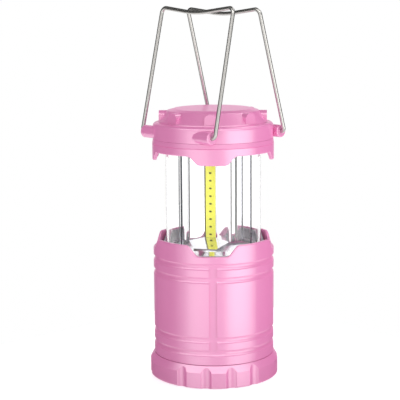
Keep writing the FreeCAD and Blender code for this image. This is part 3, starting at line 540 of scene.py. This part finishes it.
@dataclass
class Finishes:
    """All finishes of the lantern, each made once."""

    shell: bpy.types.Material = field(init=False)
    inner: bpy.types.Material = field(init=False)
    clear: bpy.types.Material = field(init=False)
    mirror: bpy.types.Material = field(init=False)
    floor_mirror: bpy.types.Material = field(init=False)
    wire: bpy.types.Material = field(init=False)
    rail: bpy.types.Material = field(init=False)
    screw: bpy.types.Material = field(init=False)
    contact: bpy.types.Material = field(init=False)
    lead: bpy.types.Material = field(init=False)
    can: bpy.types.Material = field(init=False)
    board: bpy.types.Material = field(init=False)
    phosphor: bpy.types.Material = field(init=False)
    chip: bpy.types.Material = field(init=False)
    slot_shade_paint: bpy.types.Material = field(init=False)
    seal: bpy.types.Material = field(init=False)

    def __post_init__(self) -> None:
        """Make the materials."""
        # Pink ABS with pearl mica: even colour under a broad pale sheen.
        self.shell = MouldedPlastic(
            "ABS_moulded_pearl_pink", "#E77FB9", "#ED88C0", roughness=0.29, specular=1.0, index=1.9
        ).make()
        # Grey ABS of the guide tube: darker and duller.
        self.inner = MouldedPlastic(
            "ABS_moulded_matt_grey", "#ABA6B0", "#B9B4BE", roughness=0.55, specular=0.35
        ).make()
        # Clear polystyrene: seen through, with grey edges.
        self.clear = ClearPlastic("polystyrene_moulded_clear").make()
        # Metallised plastic: a bright, slightly wavy mirror.
        self.mirror = PlatedMirror("plastic_metallised_bright").make()
        # The floor's mirror is coarser and breaks up what it shows.
        self.floor_mirror = PlatedMirror(
            "plastic_metallised_faceted", "#EDEDF0", roughness=0.12, wave_mm=2.5, wave_depth_mm=0.03
        ).make()
        # Nickel-plated steel wire: bright and dark streaks.
        self.wire = DrawnMetal(
            "steel_wire_nickel_plated", "#C6C4C0", "#B2B0AC", roughness=0.3
        ).make()
        # Rolled steel rails: greyer and smoother than the wire.
        self.rail = DrawnMetal("steel_rolled_strip", "#B2B2BA", "#9C9CA6", roughness=0.25).make()
        # Zinc-plated screws: a cold grey.
        self.screw = DrawnMetal("steel_zinc_plated", "#B4B6B8", "#94969A", roughness=0.3).make()
        # Stamped brass contacts: warm and bright.
        self.contact = DrawnMetal(
            "brass_stamped_bright", "#D8C48A", "#B79F62", roughness=0.25
        ).make()
        # PVC insulation of the leads: plain red, satin.
        self.lead = MouldedPlastic("PVC_extruded_red", "#B3222B", "#C3313A", roughness=0.45).make()
        # Shrink-wrapped cell cans: dark and glossy.
        self.can = MouldedPlastic(
            "PVC_shrink_wrap_dark", "#34343A", "#42424A", roughness=0.3
        ).make()
        # White solder mask on glass-fibre board: clean and satin.
        self.board = MouldedPlastic(
            "glass_fibre_board_masked_white", "#E9EAE6", "#F4F4F0", roughness=0.4
        ).make()
        # Phosphor in cast silicone: a clear strong yellow, soft and even.
        self.phosphor = MouldedPlastic(
            "silicone_cast_phosphor_yellow", "#FFFB58", "#FFFF70", roughness=0.5, specular=0.3
        ).make()
        # Emitter chips, half sunk in the phosphor: small and dark.
        self.chip = MouldedPlastic(
            "emitter_chip_dark", "#4C4A1E", "#605C2A", roughness=0.5, specular=0.3
        ).make()
        # Dark brown-grey wire: painted shade in the slot beside each strip.
        self.slot_shade_paint = MouldedPlastic(
            "dark_wire_painted_slot_shade", "#4A4548", "#5A5456", roughness=0.35
        ).make()
        # Rubber sealing ring: black and matt.
        self.seal = MouldedPlastic(
            "nitrile_rubber_moulded", "#1B1B1C", "#262627", roughness=0.7, specular=0.3
        ).make()


@dataclass
class Base:
    """The lantern's lower half, with what it holds."""

    finishes: Finishes

    def dress(self) -> None:
        """Give the base's nodes their finishes."""
        Workshop.dress_nodes(["body_shell", "base_cap"], self.finishes.shell)
        Workshop.dress_nodes(["inner_sleeve", "battery_tray"], self.finishes.inner)
        contacts = ["leaf_contacts", "contact_sheets", "coil_contacts"]
        Workshop.dress_nodes(contacts, self.finishes.contact)
        Workshop.dress_nodes(["supply_leads"], self.finishes.lead)
        Workshop.dress_nodes(["tray_screws"], self.finishes.screw)
        Workshop.dress_nodes(["cells"], self.finishes.can)
        Workshop.dress_nodes(["seal_ring"], self.finishes.seal)


@dataclass
class LightColumn:
    """The three light strips with their emitters, and dark wires that paint shade beside them.

    Attributes:
        finishes: All finishes.
        count: Number of strips round the column.
        emitters: Emitters on each strip.
        pitch: Distance between emitters, in mm.
        first: Height of the lowest emitter over the strip's foot, in mm.
        chip: Width, height and thickness of an emitter, in mm.
        dimple: Rim and depth of the pressed-in face of an emitter, in mm.
        wire: Diameter of a dark wire that paints the shade in a strip's slot, in mm.
        wire_side: Distance of a dark wire from the middle of its board, in mm.
        wire_sink: Depth of a dark wire's middle under the face of its board, in mm.
        bead: Diameter and length of the solder bead at a wire's ends, in mm.
        bead_rings: Steps that a bead is drawn in.
        trim: How many times a wire is thicker than its trimmed end.
        wire_sides: Corners of a wire's section.
        crease: Least angle between faces that shows as an edge of a wire, in degrees.
    """

    finishes: Finishes
    count: int = 3
    emitters: int = 12
    pitch: float = 5.41
    first: float = 2.4
    chip: tuple[float, float, float] = (1.5, 1.0, 0.3)
    dimple: tuple[float, float] = (0.22, 0.1)
    wire: float = 0.7
    wire_side: float = 4.1
    wire_sink: float = 0.55
    bead: tuple[float, float] = (0.84, 1.2)
    bead_rings: int = 4
    trim: float = 1.6
    wire_sides: int = 12
    crease: float = 50.0

    @property
    def numbers(self) -> range:
        """Numbers of the strips and of their boards."""
        return range(1, self.count + 1)

    @staticmethod
    def facing(node: str) -> Matrix:
        """Turn from +X to the direction that a piece of the column faces.

        Args:
            node: The piece's name.

        Returns:
            The turn about the axis.
        """
        points = [vertex.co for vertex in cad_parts[node].data.vertices]
        middle = sum(points, Vector()) / len(points)
        return Matrix.Rotation(math.atan2(middle.y, middle.x), 4, "Z")

    def reach(self, node: str) -> tuple[float, float, float]:
        """Where a strip or a board lies, once turned to face +X.

        Args:
            node: The strip or the board.

        Returns:
            Distance of its face from the axis, its foot and its top, in metres.
        """
        back = self.facing(node).inverted()
        points = [back @ vertex.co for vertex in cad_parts[node].data.vertices]
        heights = [point.z for point in points]
        return max(point.x for point in points), min(heights), max(heights)

    def emitter(self) -> Piece:
        """Model the lowest emitter of a strip that faces +X.

        Returns:
            A rounded chip with a pressed-in face, half sunk in the strip.
        """
        face, foot, _ = self.reach("light_strip_1")
        width, height, thick = [size * MM for size in self.chip]
        rim, depth = [size * MM for size in self.dimple]
        Workshop.clear()
        bpy.ops.mesh.primitive_cube_add(size=1, location=(face, 0, foot + self.first * MM))
        bpy.ops.transform.resize(value=(2 * thick, width, height))
        Workshop.edit(Pick.EDGES)
        bpy.ops.mesh.select_all(action="SELECT")
        bpy.ops.mesh.bevel(offset=thick / 2, segments=2, affect="EDGES")
        Workshop.pick_faces(Vector((1, 0, 0)))
        bpy.ops.mesh.inset(thickness=rim, depth=-depth)
        return Workshop.done("emitter")

    def emitter_rows(self) -> list[Piece]:
        """Repeat the emitter up and round the column.

        Returns:
            One joined row for each strip.
        """
        seed = self.emitter()
        heights = [step * self.pitch * MM for step in range(self.emitters)]
        rows = []
        for number in self.numbers:
            turn = self.facing(f"light_strip_{number}")
            places = [turn @ Matrix.Translation((0, 0, height)) for height in heights]
            rows.append(Workshop.join(Workshop.copies(seed, places), f"emitter_row_{number}"))
        bpy.data.objects.remove(seed)
        return rows

    def slot_shade_wire(self) -> Piece:
        """Model the dark wire that paints the shade in the slot beside a board that faces +X.

        Returns:
            A straight wire with a round solder bead at each end.
        """
        face, foot, top = self.reach("light_board_1")
        bulge, bead = [size * MM for size in self.bead]
        grow = bulge / (self.wire * MM)
        place = (face - self.wire_sink * MM, -self.wire_side * MM, foot)
        # Each step is a rise and the scale of the wire's section after it.
        ring = bead / self.bead_rings
        round_bead = [(ring, 1.0)] * (self.bead_rings - 2)
        steps = [
            (ring, grow * self.trim),
            *round_bead,
            (ring, 1 / grow),
            (top - foot - 2 * bead, 1.0),
            (ring, grow),
            *round_bead,
            (ring, 1 / grow / self.trim),
        ]
        Workshop.clear()
        tip = self.wire * MM / 2 / self.trim
        bpy.ops.mesh.primitive_circle_add(vertices=self.wire_sides, radius=tip, location=place)
        Workshop.edit()
        bpy.ops.mesh.select_all(action="SELECT")
        bpy.ops.mesh.edge_face_add()
        for rise, scale in steps:
            bpy.ops.mesh.extrude_region_move(TRANSFORM_OT_translate={"value": (0, 0, rise)})
            bpy.ops.transform.resize(value=(scale, scale, 1))
        bpy.ops.mesh.select_all(action="SELECT")
        bpy.ops.mesh.normals_make_consistent(inside=False)
        bpy.ops.object.mode_set(mode="OBJECT")
        bpy.ops.object.shade_smooth_by_angle(angle=math.radians(self.crease))
        return Workshop.done("slot_shade_wire")

    def slot_shade_wires(self) -> list[Piece]:
        """Copy the dark wire that paints the slot's shade to each board.

        Returns:
            The wires, named by their boards' numbers.
        """
        seed = self.slot_shade_wire()
        turns = [self.facing(f"light_board_{number}") for number in self.numbers]
        wires = Workshop.copies(seed, turns)
        bpy.data.objects.remove(seed)
        for number, wire in enumerate(wires, start=1):
            wire.name = wire.data.name = f"slot_shade_wire_{number}"
        return wires

    def build(self) -> None:
        """Make and fit the new pieces of the column."""
        for row in self.emitter_rows():
            Workshop.fit(row, self.finishes.chip, Part.HEAD, "board")
        # Dark wires paint the shade in the slot beside each strip.
        for wire in self.slot_shade_wires():
            Workshop.fit(wire, self.finishes.slot_shade_paint, Part.HEAD, "lead_insulation")

    def dress(self) -> None:
        """Give the column's nodes their finishes."""
        boards = [f"light_board_{number}" for number in self.numbers]
        strips = [f"light_strip_{number}" for number in self.numbers]
        Workshop.dress_nodes(boards, self.finishes.board)
        Workshop.dress_nodes(strips, self.finishes.phosphor)
        Workshop.dress_nodes(["mirror_column", "mirror_ceiling"], self.finishes.mirror)
        Workshop.dress_nodes(["mirror_floor"], self.finishes.floor_mirror)


@dataclass
class Head:
    """The sliding head round the light column."""

    finishes: Finishes

    def dress(self) -> None:
        """Give the head's nodes their finishes."""
        Workshop.dress_nodes(["skirt_ring", "top_cap"], self.finishes.shell)
        Workshop.dress_nodes(["carriage"], self.finishes.inner)
        Workshop.dress_nodes(["clear_tube"], self.finishes.clear)
        Workshop.dress_nodes(["guide_rails"], self.finishes.rail)
        Workshop.dress_nodes(["contact_studs", "contact_strips"], self.finishes.contact)
        Workshop.dress_nodes(["column_leads"], self.finishes.lead)
        Workshop.dress_nodes(["driver_board"], self.finishes.board)
        screws = ["column_screws", "ceiling_screws", "head_screws"]
        Workshop.dress_nodes(screws, self.finishes.screw)


@dataclass
class Handles:
    """The two wire handles."""

    finishes: Finishes

    def dress(self) -> None:
        """Give the handles their finish."""
        Workshop.dress_nodes(["front_handle", "rear_handle"], self.finishes.wire)


@dataclass(frozen=True)
class Lamp:
    """A flat lamp that is aimed at the lantern's axis.

    Attributes:
        turn: Direction that it stands in, in degrees to the right of the camera.
        out: Distance from the axis, in metres.
        height: Height of its middle over the table top, in metres.
        aim: Height over the table top that it is aimed at, in metres.
        size: Width and height of its face, in metres.
        power: Power in watts.
    """

    turn: float
    out: float
    height: float
    aim: float
    size: tuple[float, float]
    power: float


@dataclass(frozen=True)
class Fade:
    """A change of the room's brightness from one direction to another.

    Attributes:
        edge: Cosine of the angle to the room's brighter or darker place, where the change starts
            and where it ends.
        level: Brightness before the change and after it.
    """

    edge: tuple[float, float]
    level: tuple[float, float]


@dataclass
class Studio:
    """Camera, lamps, world and floor.

    Attributes:
        azimuth: Direction the camera stands in, in degrees from -Y towards +X.
        distance: Camera's distance from the lantern's axis, in metres.
        height: Camera's height over the table top, in metres.
        pitch: How far it looks down, in radians.
        aim_left: How far it looks to the left of the axis, in radians.
        lens: Focal length, in mm.
        sensor: Width of the frame that the focal length belongs to, in mm.
        roll: How far the camera is tilted about its line of sight, in radians.
        fill: Soft light, from the far side of the room to its lit side.
        fill_turn: Turn to the right of the camera and rise of the lit side, in degrees.
        wall: Front wall that the sheen and the middle of the wires show.
        backdrop: Back wall that shows at a glancing angle.
        underside: White ground that the undersides of the bars show.
        softbox: High softbox, on the lips of the grooves and the edges of the grips.
        softbox_band: Sine of the softbox's rise, and half its span.
        flag: Room that is seen in the clear tube, and the dark flags in it.
        flags: Directions of the flags, in degrees to the right of the camera.
        flag_rise: How far the flags stand over the level of the lantern, in degrees.
        floor_half: Half the width of the white table top, in metres.
        floor_drop: Gap under the lantern's foot, in mm.
        floor_glow: What the table adds to its lit colour to be white.
        floor_colour: The table's lit colour.
        floor_roughness: Roughness of the table.
        floor_specular: Strength of the table's highlight.
        lamps: Two level lamps that draw the upright sheen, and one over the top.
    """

    azimuth: float = 47.3
    distance: float = 0.85
    height: float = 0.264
    pitch: float = 0.16335
    aim_left: float = 0.01106
    lens: float = 110.08
    sensor: float = 36.0
    roll: float = -0.0073
    fill: Fade = Fade(edge=(-1.0, 1.0), level=(0.75, 1.46))
    fill_turn: tuple[float, float] = (147.0, -25.0)
    wall: Fade = Fade(edge=(0.15, 0.6), level=(0.05, 1.0))
    backdrop: Fade = Fade(edge=(0.85, 0.97), level=(0.0, 0.8))
    underside: Fade = Fade(edge=(0.3, 0.5), level=(0.0, 1.2))
    softbox: Fade = Fade(edge=(-0.1, 0.4), level=(0.0, 3.0))
    softbox_band: tuple[float, float] = (0.58, 0.12)
    flag: Fade = Fade(edge=(0.965, 0.985), level=(1.4, 0.2))
    flags: tuple[float, ...] = (-38.0, -22.0, -8.0, 6.0, 84.0, 104.0, 124.0)
    flag_rise: float = -9.0
    floor_half: float = 0.16
    floor_drop: float = 0.2
    floor_glow: float = 0.5
    floor_colour: str = "#E6E6E6"
    floor_roughness: float = 0.22
    floor_specular: float = 0.25
    lamps: tuple[Lamp, ...] = (
        Lamp(turn=52.0, out=1.2, height=-0.11, aim=-0.11, size=(1.3, 0.58), power=3.9),
        Lamp(turn=-29.0, out=1.2, height=-0.11, aim=-0.11, size=(0.87, 0.58), power=1.3),
        Lamp(turn=120.0, out=0.5, height=1.0, aim=0.2, size=(0.5, 0.5), power=1.7),
    )

    @staticmethod
    def ground(degrees: float, distance: float, height: float) -> Vector:
        """A point at a direction from the lantern, a distance from its axis and a height."""
        turn = math.radians(degrees)
        return Vector((distance * math.sin(turn), -distance * math.cos(turn), height))

    def camera(self) -> None:
        """Set the camera where the photograph was taken from."""
        data = bpy.data.cameras.new("photo_camera")
        data.lens = self.lens
        data.sensor_width = self.sensor
        camera = bpy.data.objects.new("photo_camera", data)
        camera.location = self.ground(self.azimuth, self.distance, self.height)
        turn = math.radians(self.azimuth) + self.aim_left
        aim = Matrix.Rotation(turn, 4, "Z") @ Matrix.Rotation(math.pi / 2 - self.pitch, 4, "X")
        camera.rotation_euler = (aim @ Matrix.Rotation(self.roll, 4, "Z")).to_euler()
        bpy.context.scene.collection.objects.link(camera)
        bpy.context.scene.camera = camera

    def hang(self, lamp: Lamp) -> None:
        """Set up one lamp.

        Args:
            lamp: Where it stands, its size and its power.
        """
        data = bpy.data.lights.new("studio_lamp", "AREA")
        data.shape = "RECTANGLE"
        data.size, data.size_y = lamp.size
        data.energy = lamp.power
        hung = bpy.data.objects.new("studio_lamp", data)
        hung.location = self.ground(self.azimuth + lamp.turn, lamp.out, lamp.height)
        inward = Vector((0, 0, lamp.aim)) - hung.location
        hung.rotation_euler = inward.to_track_quat("-Z", "Y").to_euler()
        bpy.context.scene.collection.objects.link(hung)

    def facing(self, turn: float, rise: float = 0.0) -> Vector:
        """Direction at a turn to the right of the camera and a rise, both in degrees."""
        tilt = math.radians(rise)
        return self.ground(self.azimuth + turn, math.cos(tilt), math.sin(tilt))

    def world(self) -> None:
        """Light the room softly, and set what the sheen and the clear tube show of it."""
        world = bpy.data.worlds.new("studio")
        world.use_nodes = True
        tree = world.node_tree
        tree.nodes.clear()
        direction = add_node(tree, "TexCoord").outputs["Generated"]
        sights = [self.facing(0.0), self.facing(180.0), self.facing(*self.fill_turn)]
        sights += [Vector((0, 0, -1))]
        sights += [self.facing(turn, self.flag_rise) for turn in self.flags]
        shares = [
            add_node(tree, "VectorMath", {0: direction, 1: sight}, operation="DOT_PRODUCT")
            for sight in sights
        ]
        front, back, lit, down, *dark = [share.outputs["Value"] for share in shares]
        nearest = dark[0]
        for share in dark[1:]:
            pair = {0: nearest, 1: share}
            nearest = add_node(tree, "Math", pair, operation="MAXIMUM").outputs[0]
        fades = (
            (lit, self.fill),
            (front, self.wall),
            (back, self.backdrop),
            (down, self.underside),
            (front, self.softbox),
            (nearest, self.flag),
        )
        soft, wall, behind, under, ahead, inside = [
            add_node(
                tree,
                "MapRange",
                {
                    "Value": share,
                    "From Min": fade.edge[0],
                    "From Max": fade.edge[1],
                    "To Min": fade.level[0],
                    "To Max": fade.level[1],
                },
            ).outputs[0]
            for share, fade in fades
        ]
        # The softbox is a level band over the camera that fades out at the sides.
        rise, span = self.softbox_band
        band = add_node(tree, "Math", {0: down, 1: -rise, 2: span}, operation="COMPARE")
        high = add_node(tree, "Math", {0: band.outputs[0], 1: ahead}, operation="MULTIPLY")
        sheen = wall
        for light in (behind, under, high.outputs[0]):
            sheen = add_node(tree, "Math", {0: sheen, 1: light}, operation="MAXIMUM").outputs[0]
        # Each kind of ray sees its own room, and the eye sees plain white.
        path = add_node(tree, "LightPath").outputs
        rooms = (
            (path["Is Glossy Ray"], sheen),
            (path["Is Transmission Ray"], inside),
            (path["Is Camera Ray"], 1.0),
        )
        strength = soft
        for ray, room in rooms:
            pair = {"Factor": ray, "A": strength, "B": room}
            strength = add_node(tree, "Mix", pair, data_type="FLOAT").outputs["Result"]
        shader = add_node(tree, "Background", {"Color": linear(WHITE), "Strength": strength})
        add_node(tree, "OutputWorld", {"Surface": shader.outputs[0]})
        bpy.context.scene.world = world

    def floor(self) -> None:
        """Lay a plain white table top that keeps the lantern's shadow."""
        Workshop.clear()
        place = (0, 0, -self.floor_drop * MM)
        bpy.ops.mesh.primitive_plane_add(size=2 * self.floor_half, location=place)
        floor = Workshop.done("floor")
        material = bpy.data.materials.new("studio_floor_white")
        material.use_nodes = True
        tree = material.node_tree
        tree.nodes.clear()
        path = add_node(tree, "LightPath")
        seen = add_node(
            tree,
            "Math",
            {0: path.outputs["Is Camera Ray"], 1: path.outputs["Is Transmission Ray"]},
            operation="MAXIMUM",
        )
        glow = add_node(
            tree,
            "MapRange",
            {"Value": seen.outputs[0], "To Min": 0.0, "To Max": self.floor_glow},
        )
        shader = add_node(
            tree,
            "BsdfPrincipled",
            {
                "Base Color": linear(self.floor_colour),
                "Roughness": self.floor_roughness,
                "Specular IOR Level": self.floor_specular,
                "Emission Color": linear(WHITE),
                "Emission Strength": glow.outputs[0],
            },
        )
        # The sheen of the lantern's foot shows the room and not the table.
        hidden = add_node(tree, "BsdfTransparent")
        surface = add_node(
            tree,
            "MixShader",
            {"Fac": path.outputs["Is Glossy Ray"], 1: shader.outputs[0], 2: hidden.outputs[0]},
        )
        add_node(tree, "OutputMaterial", {"Surface": surface.outputs[0]})
        Workshop.dress(floor, material)

    def build(self) -> None:
        """Set up the whole studio."""
        self.camera()
        self.world()
        self.floor()
        for lamp in self.lamps:
            self.hang(lamp)
        bpy.context.scene.view_settings.view_transform = "Standard"


def main() -> None:
    """Build the lantern's looks in order."""
    logging.basicConfig(level=logging.INFO, format="%(name)s: %(message)s")
    finishes = Finishes()
    Base(finishes).dress()
    column = LightColumn(finishes)
    column.build()
    column.dress()
    Head(finishes).dress()
    Handles(finishes).dress()
    Studio().build()


if __name__ == "__main__":
    main()
